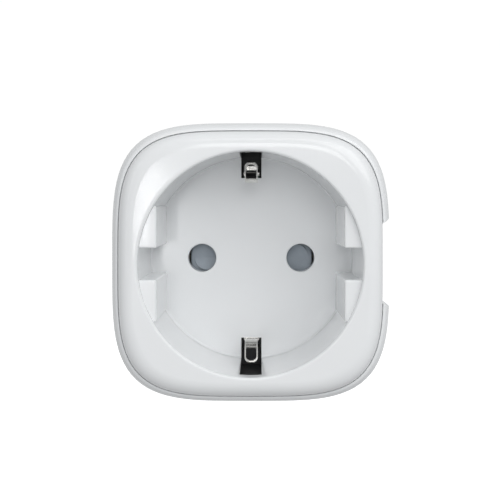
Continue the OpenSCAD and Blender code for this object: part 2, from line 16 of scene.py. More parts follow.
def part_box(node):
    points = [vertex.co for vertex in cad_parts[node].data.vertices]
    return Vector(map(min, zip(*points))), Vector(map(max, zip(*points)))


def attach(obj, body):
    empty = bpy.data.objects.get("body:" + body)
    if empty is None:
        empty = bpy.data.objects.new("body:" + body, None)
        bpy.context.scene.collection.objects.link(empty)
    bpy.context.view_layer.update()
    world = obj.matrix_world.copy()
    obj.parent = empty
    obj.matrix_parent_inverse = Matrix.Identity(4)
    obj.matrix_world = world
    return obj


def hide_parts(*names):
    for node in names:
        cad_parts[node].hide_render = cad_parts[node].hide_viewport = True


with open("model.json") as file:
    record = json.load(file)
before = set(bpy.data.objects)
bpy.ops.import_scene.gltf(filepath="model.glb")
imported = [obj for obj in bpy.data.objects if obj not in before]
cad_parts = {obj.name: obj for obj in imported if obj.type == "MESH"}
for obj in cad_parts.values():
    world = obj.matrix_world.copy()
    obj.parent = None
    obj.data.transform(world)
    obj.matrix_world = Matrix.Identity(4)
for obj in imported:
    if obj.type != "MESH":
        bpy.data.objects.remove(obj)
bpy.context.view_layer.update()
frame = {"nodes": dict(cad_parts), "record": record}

# %% [markdown]
# ## Working in millimetres
# Booleans and bevels behave best when the numbers are near one, so each piece is drawn in
# millimetres and brought down to metres in a single last step. The depth planes that many pieces
# share come from the boxes of the engineering nodes, so a piece can't drift away from its frame.

# %% Depth planes of the body
MM = 0.001


def corner_mm(node):
    """Lowest and highest corner of an engineering node, in millimetres."""
    low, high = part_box(node)
    return low / MM, high / MM


RIM_Y = round(corner_mm("front_cover")[0].y, 2)
SEAM_Y = RIM_Y + 2.5
FLOOR_Y = RIM_Y + 17.5
FLOOR_BACK_Y = FLOOR_Y + 2.2
BACK_Y = round(corner_mm("housing_screws")[1].y, 2)
SQUARENESS = 3.9
COVER_HALF = 23.1
BODY_HALF = round(corner_mm("rear_housing")[1].z, 2)
RECESS_X = round(corner_mm("light_guide")[1].x, 2)
PIN_X = round((corner_mm("neutral_pin")[0].x + corner_mm("neutral_pin")[1].x) / 2, 2)
print("rim", RIM_Y, "seam", SEAM_Y, "floor", FLOOR_Y, "back", BACK_Y, "pins at", PIN_X)

# %% [markdown]
# ## The camera
# A product picture of a socket is taken straight from the front and rather close, so that the
# deep well shows its wall all round. The camera stands 140 mm in front of the rim, a little above
# the middle, and looks level along +Y. Instead of tilting it, which would make the square body
# lean, a small lens shift brings the body to the middle of the frame.

# %% Camera
CAMERA_DISTANCE, CAMERA_X, CAMERA_Z = 140, 1.48, 10.4
lens_data = bpy.data.cameras.new("front_camera")
lens_data.lens = 58.7
lens_data.sensor_width = 36
lens_data.shift_x = -0.018
lens_data.shift_y = -0.092
lens_data.clip_start = 0.01
camera = bpy.data.objects.new("front_camera", lens_data)
camera.location = (CAMERA_X * MM, (RIM_Y - CAMERA_DISTANCE) * MM, CAMERA_Z * MM)
camera.rotation_euler = (math.radians(90), 0, 0)
bpy.context.scene.collection.objects.link(camera)
bpy.context.scene.camera = camera
bpy.context.scene.view_settings.view_transform = "Standard"
print("camera", [round(v, 4) for v in camera.location])

# %% [markdown]
# ## Light
# Glossy white plastic has hardly any colour of its own. What we read as its shape is the soft
# picture of the room in it, so the room matters more than the material. The world is bright
# above, in front and behind the object, and darker below and on the left. Two narrow panels,
# above and on the left, give the streaks along the rounded edge, and a small one just left of
# the camera gives the soft patch on the frame. Two large ones, at the upper right and in front,
# light the well.

# %% World and soft panels
world = bpy.data.worlds.new("white_studio")
world.use_nodes = True
bpy.context.scene.world = world
sky = world.node_tree
sky.nodes.clear()
sky_out = sky.nodes.new("ShaderNodeOutputWorld")
sky_pick = sky.nodes.new("ShaderNodeMixShader")
sky_path = sky.nodes.new("ShaderNodeLightPath")
sky_room = sky.nodes.new("ShaderNodeBackground")
sky_back = sky.nodes.new("ShaderNodeBackground")
sky_back.inputs["Color"].default_value = (1, 1, 1, 1)
sky_back.inputs["Strength"].default_value = 1.02
sky_where = sky.nodes.new("ShaderNodeTexCoord")
sky_lean = sky.nodes.new("ShaderNodeVectorMath")
sky_lean.operation = "DOT_PRODUCT"
sky_lean.inputs[1].default_value = Vector((0.18, -0.85, 0.50)).normalized()
sky_ramp = sky.nodes.new("ShaderNodeValToRGB")
sky_ramp.color_ramp.interpolation = "EASE"
sky_ramp.color_ramp.elements[0].position = 0.22
sky_ramp.color_ramp.elements[0].color = (0.44, 0.445, 0.45, 1)
sky_ramp.color_ramp.elements[1].position = 0.97
sky_ramp.color_ramp.elements[1].color = (0.98, 0.99, 1.0, 1)
sky_shift = sky.nodes.new("ShaderNodeMath")
sky_shift.operation = "MULTIPLY_ADD"
sky_shift.inputs[1].default_value = 0.5
sky_shift.inputs[2].default_value = 0.5
sky_behind = sky.nodes.new("ShaderNodeSeparateXYZ")
sky_fade = sky.nodes.new("ShaderNodeMapRange")
sky_fade.interpolation_type = "SMOOTHSTEP"
sky_fade.inputs["From Min"].default_value = 0.15
sky_fade.inputs["From Max"].default_value = 0.75
sky_most = sky.nodes.new("ShaderNodeMath")
sky_most.operation = "MAXIMUM"
sky_room.inputs["Strength"].default_value = 0.67
for start, end in ((sky_where.outputs["Generated"], sky_lean.inputs[0]),
                   (sky_where.outputs["Generated"], sky_behind.inputs[0]),
                   (sky_behind.outputs["Y"], sky_fade.inputs["Value"]),
                   (sky_lean.outputs["Value"], sky_shift.inputs[0]),
                   (sky_shift.outputs[0], sky_most.inputs[0]),
                   (sky_fade.outputs[0], sky_most.inputs[1]),
                   (sky_most.outputs[0], sky_ramp.inputs["Fac"]),
                   (sky_ramp.outputs["Color"], sky_room.inputs["Color"]),
                   (sky_path.outputs["Is Camera Ray"], sky_pick.inputs["Fac"]),
                   (sky_room.outputs[0], sky_pick.inputs[1]),
                   (sky_back.outputs[0], sky_pick.inputs[2]),
                   (sky_pick.outputs[0], sky_out.inputs["Surface"])):
    sky.links.new(start, end)


def soft_panel(name, place, aim, width, height, power):
    """A rectangular soft light that faces a point."""
    data = bpy.data.lights.new(name, "AREA")
    data.shape = "RECTANGLE"
    data.size, data.size_y, data.energy = width, height, power
    panel = bpy.data.objects.new(name, data)
    panel.location = place
    panel.rotation_euler = (Vector(aim) - Vector(place)).to_track_quat("-Z", "Y").to_euler()
    bpy.context.scene.collection.objects.link(panel)
    return panel


middle = (0, RIM_Y * MM, 0)
soft_panel("panel_above", (0.10, -0.30, 0.42), middle, 0.42, 0.04, 0.14)
soft_panel("panel_left", (-0.40, -0.34, 0.12), middle, 0.04, 0.34, 0.05)
soft_panel("panel_left_front", (-0.125, -0.85, 0.0), middle, 0.035, 0.11, 0.13)
soft_panel("panel_upper_right", (0.42, -0.52, 0.42), middle, 0.50, 0.50, 1.3)
soft_panel("panel_front", (0.05, -0.80, 0.24), middle, 0.30, 0.30, 0.88)

# %% [markdown]
# ## The floor
# The meter lives in a wall outlet, so it stands on nothing. The floor is a plain pale sheet
# well below it. It is bright enough to read as clean white paper, and it is kept out of the
# reflections, so that the underside of the body still falls off into a soft grey.

# %% Floor
FLOOR_LEVEL, FLOOR_REACH = -0.075, 1.6
sheet = bmesh.new()
bmesh.ops.create_grid(sheet, x_segments=2, y_segments=2, size=FLOOR_REACH)
floor_mesh = bpy.data.meshes.new("pale_floor")
sheet.to_mesh(floor_mesh)
sheet.free()
floor_mesh.transform(Matrix.Translation((0, 0, FLOOR_LEVEL)))
pale_floor = bpy.data.objects.new("pale_floor", floor_mesh)
bpy.context.scene.collection.objects.link(pale_floor)
pale_floor.visible_diffuse = False
pale_floor.visible_glossy = False
paper = bpy.data.materials.new("pale_paper")
paper.use_nodes = True
paper_shader = paper.node_tree.nodes["Principled BSDF"]
paper_grain = paper.node_tree.nodes.new("ShaderNodeTexNoise")
paper_grain.inputs["Scale"].default_value = 40
paper_tone = paper.node_tree.nodes.new("ShaderNodeValToRGB")
paper_tone.color_ramp.elements[0].color = (0.93, 0.93, 0.93, 1)
paper_tone.color_ramp.elements[1].color = (0.95, 0.95, 0.95, 1)
paper.node_tree.links.new(paper_grain.outputs["Fac"], paper_tone.inputs["Fac"])
paper.node_tree.links.new(paper_tone.outputs["Color"], paper_shader.inputs["Base Color"])
paper_shader.inputs["Roughness"].default_value = 0.9
paper_shader.inputs["Specular IOR Level"].default_value = 0.1
paper_shader.inputs["Emission Color"].default_value = (1, 1, 1, 1)
paper_shader.inputs["Emission Strength"].default_value = 0.55
floor_mesh.materials.append(paper)
print("floor at", FLOOR_LEVEL)

# %% [markdown]
# ## Finishes
# Each finish is one small node tree. Three things make moulded plastic look real: a colour that
# drifts by a per cent or two, a gloss that isn't quite even, and a skin so slightly wavy that a
# reflection's edge wanders. Metals swap the wave for fine drawn lines. One builder makes them
# all, with words for what changes, and reads Object coordinates so that a pattern keeps its real size.


# %% A builder for moulded and drawn finishes
def make_finish(name, light, dark, gloss, metal=0.0, drift=260.0, grain=1800.0, wave=0.02,
                stretch=(1, 1, 1), coat=0.0):
    """A finish whose colour goes between light and dark, and whose roughness between two values."""
    finish = bpy.data.materials.new(name)
    finish.use_nodes = True
    tree = finish.node_tree
    shader = tree.nodes["Principled BSDF"]
    shader.inputs["Metallic"].default_value = metal
    shader.inputs["Coat Weight"].default_value = coat
    shader.inputs["Coat Roughness"].default_value = 0.08
    place = tree.nodes.new("ShaderNodeTexCoord")
    turn = tree.nodes.new("ShaderNodeMapping")
    turn.inputs["Scale"].default_value = stretch
    tree.links.new(place.outputs["Object"], turn.inputs["Vector"])
    cloud = tree.nodes.new("ShaderNodeTexNoise")
    cloud.inputs["Scale"].default_value = drift
    cloud.inputs["Detail"].default_value = 3
    fine = tree.nodes.new("ShaderNodeTexNoise")
    fine.inputs["Scale"].default_value = grain
    fine.inputs["Detail"].default_value = 2
    for noise in (cloud, fine):
        tree.links.new(turn.outputs["Vector"], noise.inputs["Vector"])
    tone = tree.nodes.new("ShaderNodeValToRGB")
    tone.color_ramp.elements[0].position = 0.3
    tone.color_ramp.elements[0].color = (*dark, 1)
    tone.color_ramp.elements[1].position = 0.7
    tone.color_ramp.elements[1].color = (*light, 1)
    tree.links.new(cloud.outputs["Fac"], tone.inputs["Fac"])
    tree.links.new(tone.outputs["Color"], shader.inputs["Base Color"])
    sheen = tree.nodes.new("ShaderNodeMapRange")
    sheen.inputs["To Min"].default_value = gloss[0]
    sheen.inputs["To Max"].default_value = gloss[1]
    tree.links.new(fine.outputs["Fac"], sheen.inputs["Value"])
    tree.links.new(sheen.outputs["Result"], shader.inputs["Roughness"])
    skin = tree.nodes.new("ShaderNodeBump")
    skin.inputs["Strength"].default_value = wave
    skin.inputs["Distance"].default_value = 0.0002
    tree.links.new(fine.outputs["Fac"], skin.inputs["Height"])
    tree.links.new(skin.outputs["Normal"], shader.inputs["Normal"])
    return finish


def tint(r, g, b, share):
    """The same colour, a little darker."""
    return (r * share, g * share, b * share)


WHITE = (0.86, 0.873, 0.882)
FINISH = {
    "cover_white": make_finish("glossy_cover_white", WHITE, tint(*WHITE, 0.985), (0.13, 0.19),
                               drift=90, grain=420, wave=0.012, coat=0.25),
    "housing_white": make_finish("glossy_housing_white", WHITE, tint(*WHITE, 0.98), (0.16, 0.23),
                                 drift=90, grain=420, wave=0.015, coat=0.2),
    "button_white": make_finish("satin_button_white", tint(*WHITE, 0.98), tint(*WHITE, 0.95),
                                (0.32, 0.42), grain=2600, wave=0.05),
    "light_guide": make_finish("milky_light_guide", (0.86, 0.90, 0.92), (0.78, 0.84, 0.88),
                               (0.18, 0.28), grain=900, wave=0.02),
    "led": make_finish("pale_led_epoxy", (0.90, 0.84, 0.52), (0.84, 0.76, 0.42), (0.15, 0.25)),
    "clip_nickel": make_finish("drawn_nickel", (0.80, 0.79, 0.76), (0.66, 0.65, 0.62),
                               (0.16, 0.30), metal=1, drift=500, grain=5200, wave=0.10,
                               stretch=(1, 0.06, 0.06)),
    "pin_nickel": make_finish("turned_nickel", (0.80, 0.79, 0.77), (0.70, 0.69, 0.67),
                              (0.16, 0.27), metal=1, drift=300, grain=4200, wave=0.08,
                              stretch=(0.12, 1, 0.12)),
    "screw_steel": make_finish("zinc_plated_steel", (0.66, 0.67, 0.69), (0.50, 0.51, 0.54),
                               (0.24, 0.40), metal=1, drift=700, grain=3600, wave=0.10),
    "spring_steel": make_finish("plain_spring_steel", (0.58, 0.59, 0.60), (0.44, 0.45, 0.47),
                                (0.25, 0.40), metal=1, drift=600, grain=3600, wave=0.08),
    "shutter_grey": make_finish("satin_shutter_grey", (0.33, 0.375, 0.42), (0.28, 0.32, 0.365),
                                (0.34, 0.48), drift=300, grain=2400, wave=0.10),
    "insulator_ivory": make_finish("ivory_insulator", (0.80, 0.77, 0.67), (0.72, 0.69, 0.59),
                                   (0.42, 0.56), grain=2200, wave=0.10),
    "contact_brass": make_finish("stamped_brass", (0.80, 0.60, 0.28), (0.66, 0.47, 0.20),
                                 (0.22, 0.36), metal=1, drift=500, grain=3800, wave=0.08),
    "strip_copper": make_finish("rolled_copper", (0.78, 0.44, 0.28), (0.60, 0.30, 0.18),
                                (0.25, 0.40), metal=1, drift=400, grain=3000, wave=0.08),
    "board_green": make_finish("green_solder_mask", (0.03, 0.22, 0.10), (0.02, 0.15, 0.07),
                               (0.28, 0.42), drift=900, grain=1500, wave=0.06),
    "relay_dark": make_finish("dark_relay_case", (0.035, 0.05, 0.10), (0.025, 0.035, 0.07),
                              (0.35, 0.50), grain=1800, wave=0.10),
    "coil_copper": make_finish("enamelled_wire", (0.62, 0.28, 0.12), (0.40, 0.16, 0.06),
                               (0.18, 0.32), metal=1, drift=900, grain=2400, wave=0.12,
                               stretch=(0.1, 6, 0.1)),
    "capacitor_yellow": make_finish("yellow_box_case", (0.84, 0.62, 0.08), (0.76, 0.54, 0.05),
                                    (0.28, 0.42), grain=1600, wave=0.06),
    "varistor_blue": make_finish("blue_epoxy_dip", (0.05, 0.17, 0.48), (0.03, 0.12, 0.38),
                                 (0.16, 0.28), drift=500, grain=700, wave=0.20),
    "resistor_grey": make_finish("flameproof_coat", (0.38, 0.48, 0.52), (0.30, 0.40, 0.45),
                                 (0.45, 0.60), grain=1800, wave=0.18),
    "can_sleeve": make_finish("dark_shrink_sleeve", (0.04, 0.06, 0.15), (0.03, 0.045, 0.11),
                              (0.20, 0.34), grain=900, wave=0.08),
    "ferrite": make_finish("ferrite_black", (0.09, 0.09, 0.10), (0.05, 0.05, 0.06),
                           (0.55, 0.72), grain=3200, wave=0.25),
    "chip_black": make_finish("chip_epoxy", (0.035, 0.035, 0.04), (0.022, 0.022, 0.026),
                              (0.48, 0.62), grain=4200, wave=0.20),
    "shield_tin": make_finish("tinned_can", (0.74, 0.75, 0.76), (0.62, 0.63, 0.64),
                              (0.22, 0.36), metal=1, drift=500, grain=2600, wave=0.08),
    "connector_black": make_finish("black_nylon", (0.012, 0.012, 0.014), (0.006, 0.006, 0.008),
                                   (0.42, 0.58), grain=2600, wave=0.12),
    "switch_case": make_finish("black_switch_case", (0.08, 0.08, 0.085), (0.05, 0.05, 0.055),
                               (0.40, 0.55), grain=2600, wave=0.10),
}
print("finishes:", len(FINISH))

# %% [markdown]
# ## Finishes on the engineering nodes
# Most inner pieces have the right shape already. They keep their engineering mesh and only
# change their material slot, which is allowed because it doesn't touch a single vertex. The record
# says which finish each node wants, so one loop serves them all.

# %% Dress every node
slot_of = {part["node"]: part["material_slot"] for part in frame["record"]["subparts"]}
for node, piece in frame["nodes"].items():
    piece.data.materials.clear()
    piece.data.materials.append(FINISH[slot_of[node]])
print("dressed nodes:", len(slot_of))

# %% [markdown]
# ## Tools for building pieces
# A handful of helpers keeps the lesson short: make an object from corners and faces, cut one
# shape from another, turn live modifiers into plain mesh, and hand a finished piece to its body.


# %% Helpers
def new_piece(name, corners, faces):
    """A linked object made from corner points and faces."""
    mesh = bpy.data.meshes.new(name)
    mesh.from_pydata([tuple(c) for c in corners], [], faces)
    mesh.validate()
    piece = bpy.data.objects.new(name, mesh)
    bpy.context.scene.collection.objects.link(piece)
    return piece


def set_solid(piece):
    """Applies the modifiers, so that the piece is a plain mesh again."""
    bpy.context.view_layer.update()
    graph = bpy.context.evaluated_depsgraph_get()
    baked = bpy.data.meshes.new_from_object(piece.evaluated_get(graph))
    piece.modifiers.clear()
    old, piece.data = piece.data, baked
    bpy.data.meshes.remove(old)
    baked.name = piece.name
    return piece


def combine(piece, other, how="DIFFERENCE"):
    """Cuts, joins or clips a piece with another, which is used up."""
    step = piece.modifiers.new("shape", "BOOLEAN")
    step.operation, step.solver, step.object = how, "EXACT", other
    set_solid(piece)
    bpy.data.objects.remove(other)
    return piece


def soften(piece, width, segments=2, angle=40):
    """Rounds every edge that is sharper than an angle."""
    step = piece.modifiers.new("soft_edges", "BEVEL")
    step.width, step.segments = width, segments
    step.limit_method, step.angle_limit = "ANGLE", math.radians(angle)
    return set_solid(piece)


def join(piece, *others):
    """Puts other pieces into this one as loose shells."""
    whole = bmesh.new()
    for part in (piece, *others):
        whole.from_mesh(part.data)
    whole.to_mesh(piece.data)
    whole.free()
    for part in others:
        bpy.data.objects.remove(part)
    return piece


def outward(piece):
    """Merges doubles and turns every closed shell's faces outwards."""
    mesh = bmesh.new()
    mesh.from_mesh(piece.data)
    bmesh.ops.remove_doubles(mesh, verts=mesh.verts, dist=0.0005)
    bmesh.ops.recalc_face_normals(mesh, faces=mesh.faces)
    mesh.to_mesh(piece.data)
    mesh.free()
    return piece


def hand_over(piece, body, nodes, slot, crease=32):
    """The last step of a piece: smooth shading, metres, finish, and the body it rides on."""
    mesh = piece.data
    mesh.transform(Matrix.Scale(MM, 4))
    mesh.materials.clear()
    mesh.materials.append(FINISH[slot])
    mesh.shade_smooth()
    mesh.set_sharp_from_angle(angle=math.radians(crease))
    step = piece.modifiers.new("even_normals", "WEIGHTED_NORMAL")
    step.keep_sharp = True
    set_solid(piece)
    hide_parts(*nodes)
    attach(piece, body)
    print(piece.name, "rides on", body, "with", len(piece.data.polygons), "faces")
    return piece


def prism(name, outline, axis, start, end):
    """A closed bar: an outline of 2-D points carried along X or Y, from start to end."""
    count = len(outline)
    place = (lambda a, b, t: (t, a, b)) if axis == "X" else (lambda a, b, t: (a, t, b))
    corners = [place(a, b, t) for t in (start, end) for a, b in outline]
    sides = [(i, (i + 1) % count, count + (i + 1) % count, count + i) for i in range(count)]
    piece = new_piece(name, corners, [*sides, tuple(range(count))[::-1],
                                      tuple(range(count, 2 * count))])
    return outward(piece)


def circle(radius, x=0.0, z=0.0, count=64):
    """Points of a circle in the plane across the body's axis."""
    return [(x + radius * math.cos(math.tau * i / count),
             z + radius * math.sin(math.tau * i / count)) for i in range(count)]


def turned(name, profile, x=0.0, z=0.0, count=64):
    """A piece turned about a line along Y, from (depth, radius) pairs, closed at both ends."""
    rings = [[(x + r * math.cos(math.tau * i / count), y, z + r * math.sin(math.tau * i / count))
              for i in range(count)] for y, r in profile]
    return outward(lofted(name, rings))


def lofted(name, rings):
    """A closed piece through rings of equally many points, with flat ends."""
    count = len(rings[0])
    corners = [p for ring in rings for p in ring]
    faces = [(k * count + i, k * count + (i + 1) % count, (k + 1) * count + (i + 1) % count,
              (k + 1) * count + i) for k in range(len(rings) - 1) for i in range(count)]
    faces += [tuple(range(count))[::-1], tuple(range(len(corners) - count, len(corners)))]
    return new_piece(name, corners, faces)


def quarter(steps):
    """Pairs (1 - cos, sin) through a quarter turn."""
    return [(1 - math.cos(math.pi / 2 * i / steps), math.sin(math.pi / 2 * i / steps))
            for i in range(steps + 1)]


print("helpers ready")

# %% [markdown]
# ## The rule behind the shell
# Both halves of the body follow one rule. Seen from the front each cross-section is a
# superellipse: `half / (|cos a|^n + |sin a|^n)^(1/n)` is how far the wall is from the axis in the
# direction `a`. With n = 2 it is the round well, and with n = 3.9 it is the rounded square.
# A shape with a rule is a job for Geometry Nodes. Python lays out a plain flat sheet that says,
# for each point, the direction, the depth, the half-width and n. The tree turns
# those four numbers into the shell. The finger recess on the right is part of the same rule:
# a smooth minimum between the wall and a sunken floor gives crisp but rounded edges.


# %% Writing formulas as nodes
class Rule:
    """A number in a node tree, so that a formula can be written in plain Python."""

    def __init__(self, tree, socket):
        self.tree, self.socket = tree, socket

    def apply(self, operation, *others):
        node = self.tree.nodes.new("ShaderNodeMath")
        node.operation = operation
        for place, value in zip(node.inputs, (self, *others)):
            if isinstance(value, Rule):
                self.tree.links.new(value.socket, place)
            else:
                place.default_value = value
        return Rule(self.tree, node.outputs[0])

    def __add__(self, other):
        return self.apply("ADD", other)

    def __sub__(self, other):
        return self.apply("SUBTRACT", other)

    def __mul__(self, other):
        return self.apply("MULTIPLY", other)

    def __truediv__(self, other):
        return self.apply("DIVIDE", other)

    def __pow__(self, other):
        return self.apply("POWER", other)


RECESS_SIZES = {"Recess Floor": RECESS_X, "Recess Half Height": 7.0, "Recess Back": -26.3,
                "Recess Wall": 1.1, "Edge Radius": 0.3}


def shell_tree(name, finish, with_recess):
    """The node tree that lifts a flat sheet into the rounded-square shell."""
    tree = bpy.data.node_groups.new(name, "GeometryNodeTree")
    tree.interface.new_socket("Geometry", in_out="INPUT", socket_type="NodeSocketGeometry")
    sizes = {}
    wanted = RECESS_SIZES if with_recess else {}
    for label, size in wanted.items():
        socket = tree.interface.new_socket(label, in_out="INPUT", socket_type="NodeSocketFloat")
        socket.default_value = size
    tree.interface.new_socket("Geometry", in_out="OUTPUT", socket_type="NodeSocketGeometry")
    source = tree.nodes.new("NodeGroupInput")
    target = tree.nodes.new("NodeGroupOutput")
    for label in wanted:
        sizes[label] = Rule(tree, source.outputs[label])
    where = tree.nodes.new("GeometryNodeInputPosition")
    split = tree.nodes.new("ShaderNodeSeparateXYZ")
    tree.links.new(where.outputs[0], split.inputs[0])
    direction, depth, half = (Rule(tree, split.outputs[i]) for i in range(3))

    def read(label):
        node = tree.nodes.new("GeometryNodeInputNamedAttribute")
        node.data_type = "FLOAT"
        node.inputs["Name"].default_value = label
        return Rule(tree, node.outputs["Attribute"])

    power = read("squareness")
    across, up = direction.apply("COSINE"), direction.apply("SINE")
    spread = across.apply("ABSOLUTE") ** power + up.apply("ABSOLUTE") ** power
    reach = half / (spread ** (power ** -1.0))
    x, z = reach * across, reach * up
    if with_recess:
        inner = read("inner")
        wall = sizes["Recess Wall"] * inner
        corner = 1.5
        far_z = z.apply("ABSOLUTE") - sizes["Recess Half Height"] + corner
        far_y = depth - sizes["Recess Back"] + corner
        out_z, out_y = far_z.apply("MAXIMUM", 0.0), far_y.apply("MAXIMUM", 0.0)
        past = (out_z * out_z + out_y * out_y).apply("SQRT")
        within = far_z.apply("MAXIMUM", far_y).apply("MINIMUM", 0.0)
        gap = past + within - corner - wall
        bank = (gap * 2.1).apply("SMOOTH_MAX", 0.0, sizes["Edge Radius"])
        sunk = sizes["Recess Floor"] - wall + bank
        lowered = x.apply("SMOOTH_MIN", sunk, sizes["Edge Radius"] * 1.4)
        right = x.apply("GREATER_THAN", 0.0)
        x = x + (lowered - x) * right
    merge = tree.nodes.new("ShaderNodeCombineXYZ")
    for part, place in zip((x, depth, z), merge.inputs):
        tree.links.new(part.socket, place)
    lift = tree.nodes.new("GeometryNodeSetPosition")
    real = tree.nodes.new("GeometryNodeRealizeInstances")
    paint = tree.nodes.new("GeometryNodeSetMaterial")
    paint.inputs["Material"].default_value = finish
    tree.links.new(source.outputs["Geometry"], lift.inputs["Geometry"])
    tree.links.new(merge.outputs[0], lift.inputs["Position"])
    tree.links.new(lift.outputs[0], real.inputs[0])
    tree.links.new(real.outputs[0], paint.inputs["Geometry"])
    tree.links.new(paint.outputs[0], target.inputs["Geometry"])
    return tree


def raise_sheet(name, rows, angles, tree, sizes):
    """Lays out the flat sheet, runs the tree on it and returns the solid shell.

    rows holds (depth, half-width, squareness, inner), and angles(row) gives the directions."""
    columns = len(angles(rows[0]))
    corners = [(a, row[0], row[1]) for row in rows for a in angles(row)]
    faces = [(k * columns + i, k * columns + (i + 1) % columns,
              (k + 1) * columns + (i + 1) % columns, (k + 1) * columns + i)
             for k in range(len(rows) - 1) for i in range(columns)]
    faces += [tuple(range(columns))[::-1],
              tuple(range(len(corners) - columns, len(corners)))]
    piece = new_piece(name, corners, faces)
    for label, index in (("squareness", 2), ("inner", 3)):
        values = piece.data.attributes.new(label, "FLOAT", "POINT")
        values.data.foreach_set("value", [float(row[index]) for row in rows
                                          for _ in range(columns)])
    step = piece.modifiers.new("shell_rule", "NODES")
    step.node_group = tree
    for item in tree.interface.items_tree:
        if item.item_type == "SOCKET" and item.in_out == "INPUT" and item.name in sizes:
            step[item.identifier] = sizes[item.name]
    set_solid(piece)
    for label in ("squareness", "inner"):
        piece.data.attributes.remove(piece.data.attributes[label])
    return outward(piece)


print("shell rule ready")

# %% [markdown]
# ## The front cover
# The cover is one moulding: a frame that curves gently down to the seam, and the deep round well
# of the socket. Its section is drawn as rows from the edge of the well's floor, up the wall, over
# the rim and round the outside to the tongue that slips into the housing, then back along the
# hidden side. The columns are set so that two of them run exactly along the sides of the
# two clip windows, which keeps the cuts clean. The row just past the rim is almost round, so that
# the step from the round rim to the rounded square stays smooth.

# %% Cover: rows and columns
ROUND, SQUARE = 2.0, SQUARENESS
WELL_R, WELL_RIM_R = 19.35, 19.5
FLOOR_ROUND, RIM_ROUND, DOME = 0.5, 0.4, 2.9
TONGUE_HALF, TONGUE_IN, TONGUE_END_Y = 21.85, 20.75, SEAM_Y + 3
WELL_BACK_R, FRAME_BACK_Y = 20.4, RIM_Y + 1.7
cover_rows = [(FLOOR_Y - FLOOR_ROUND * c, WELL_R - FLOOR_ROUND + FLOOR_ROUND * s, ROUND, 0)
              for c, s in quarter(5)]
cover_rows += [(FLOOR_Y - d, WELL_R + (WELL_RIM_R - WELL_R) * d / 17, ROUND, 0)
               for d in (4, 8, 12, 16.4)]
cover_rows += [(RIM_Y + RIM_ROUND * (1 - s), WELL_RIM_R + RIM_ROUND * c, ROUND, 0)
               for c, s in quarter(6)]
cover_rows += [(RIM_Y, 20.12, 2.05, 0)]
cover_rows += [(RIM_Y + (SEAM_Y - RIM_Y) * c, COVER_HALF - DOME + DOME * s, SQUARE, 0)
               for c, s in quarter(20)]
cover_rows += [(SEAM_Y, TONGUE_HALF, SQUARE, 0), (TONGUE_END_Y, TONGUE_HALF, SQUARE, 0),
               (TONGUE_END_Y, TONGUE_IN, SQUARE, 0), (FRAME_BACK_Y, TONGUE_IN, SQUARE, 0),
               (FRAME_BACK_Y, WELL_BACK_R, ROUND, 0), (FLOOR_BACK_Y, WELL_BACK_R, ROUND, 0)]
WINDOW_HALF = 1.95
window_angle = math.asin(WINDOW_HALF / WELL_R)


def cover_angles(row):
    """Directions of the columns, with pairs that follow the window's sides."""
    turn = math.pi / 2
    marks = []
    for side in range(4):
        start = side * turn
        if side % 2 == 0:
            marks += [start + (turn - window_angle) * i / 40 for i in range(40)]
            marks += [start + turn - window_angle + 2 * window_angle * i / 6 for i in range(6)]
        else:
            first = start + window_angle
            marks += [first + (turn - window_angle) * i / 40 for i in range(40)]
    return marks


cover = raise_sheet("front_cover_shell", cover_rows, cover_angles,
                    shell_tree("cover_rule", FINISH["cover_white"], False), {})
print("cover:", len(cover.data.vertices), "points in", len(cover_rows), "rows")

# %% [markdown]
# The pin holes and the clip windows are cut next. A hole's cutter flares near the
# floor, so that the hole comes out with the small rounded mouth that moulded holes have.

# %% Cover: pin holes and windows
HOLE_R, HOLE_FLARE = 2.675, 0.28
for side in (-1, 1):
    mouth = [(FLOOR_BACK_Y + 0.3, HOLE_R), (FLOOR_Y + HOLE_FLARE, HOLE_R)]
    mouth += [(FLOOR_Y + HOLE_FLARE * (1 - s), HOLE_R + HOLE_FLARE * c) for c, s in quarter(4)[1:]]
    mouth += [(FLOOR_Y - 0.4, HOLE_R + HOLE_FLARE)]
    combine(cover, turned("hole_cutter", mouth, x=side * PIN_X))
WINDOW_IN, WINDOW_OUT = 15.4, 20.6
TONGUE_GAP_HALF, TONGUE_GAP_IN, TONGUE_GAP_OUT = 3.2, 20.5, 22.2


def upright_box(half, low, high):
    """Corner points of a rectangle centred on the axis, from low to high."""
    return [(-half, low), (half, low), (half, high), (-half, high)]


for up in (-1, 1):
    combine(cover, prism("window_cutter", upright_box(WINDOW_HALF, up * WINDOW_IN, up * WINDOW_OUT),
                         "Y", RIM_Y + 2.4, FLOOR_BACK_Y + 0.3))
    combine(cover, prism("tongue_cutter", upright_box(TONGUE_GAP_HALF, up * TONGUE_GAP_IN,
                                                      up * TONGUE_GAP_OUT),
                         "Y", SEAM_Y + 0.02, TONGUE_END_Y + 0.3))
print("cover after cutting:", len(cover.data.polygons), "faces")

# %% [markdown]
# Four ribs stand on the sides of the well and key the plug. They run from the floor almost to
# the rim. Each is a small block with an arc for a back. The shape repeats by mirroring, so one
# tree places all four: the block goes in once, and a transform with a scale of -1 makes each
# mirror image. A single mirroring turns the faces inside out, so those two copies are flipped.

# %% Cover: the well's four ribs
RIB_LOW, RIB_HIGH, RIB_FACE, RIB_ROOT_R = 2.75, 10.1, 16.3, 19.8


def rib_loop(y):
    """One end of a rib, from its face round the arc behind it."""
    start, end = math.asin(RIB_HIGH / RIB_ROOT_R), math.asin(RIB_LOW / RIB_ROOT_R)
    arc = [start + (end - start) * i / 8 for i in range(9)]
    return [(RIB_FACE, y, RIB_LOW), (RIB_FACE, y, RIB_HIGH)] + [
        (RIB_ROOT_R * math.cos(a), y, RIB_ROOT_R * math.sin(a)) for a in arc]


rib = outward(lofted("well_rib", [rib_loop(FLOOR_Y + 0.3), rib_loop(RIM_Y + 1)]))
soften(rib, 0.32, 3, 30)

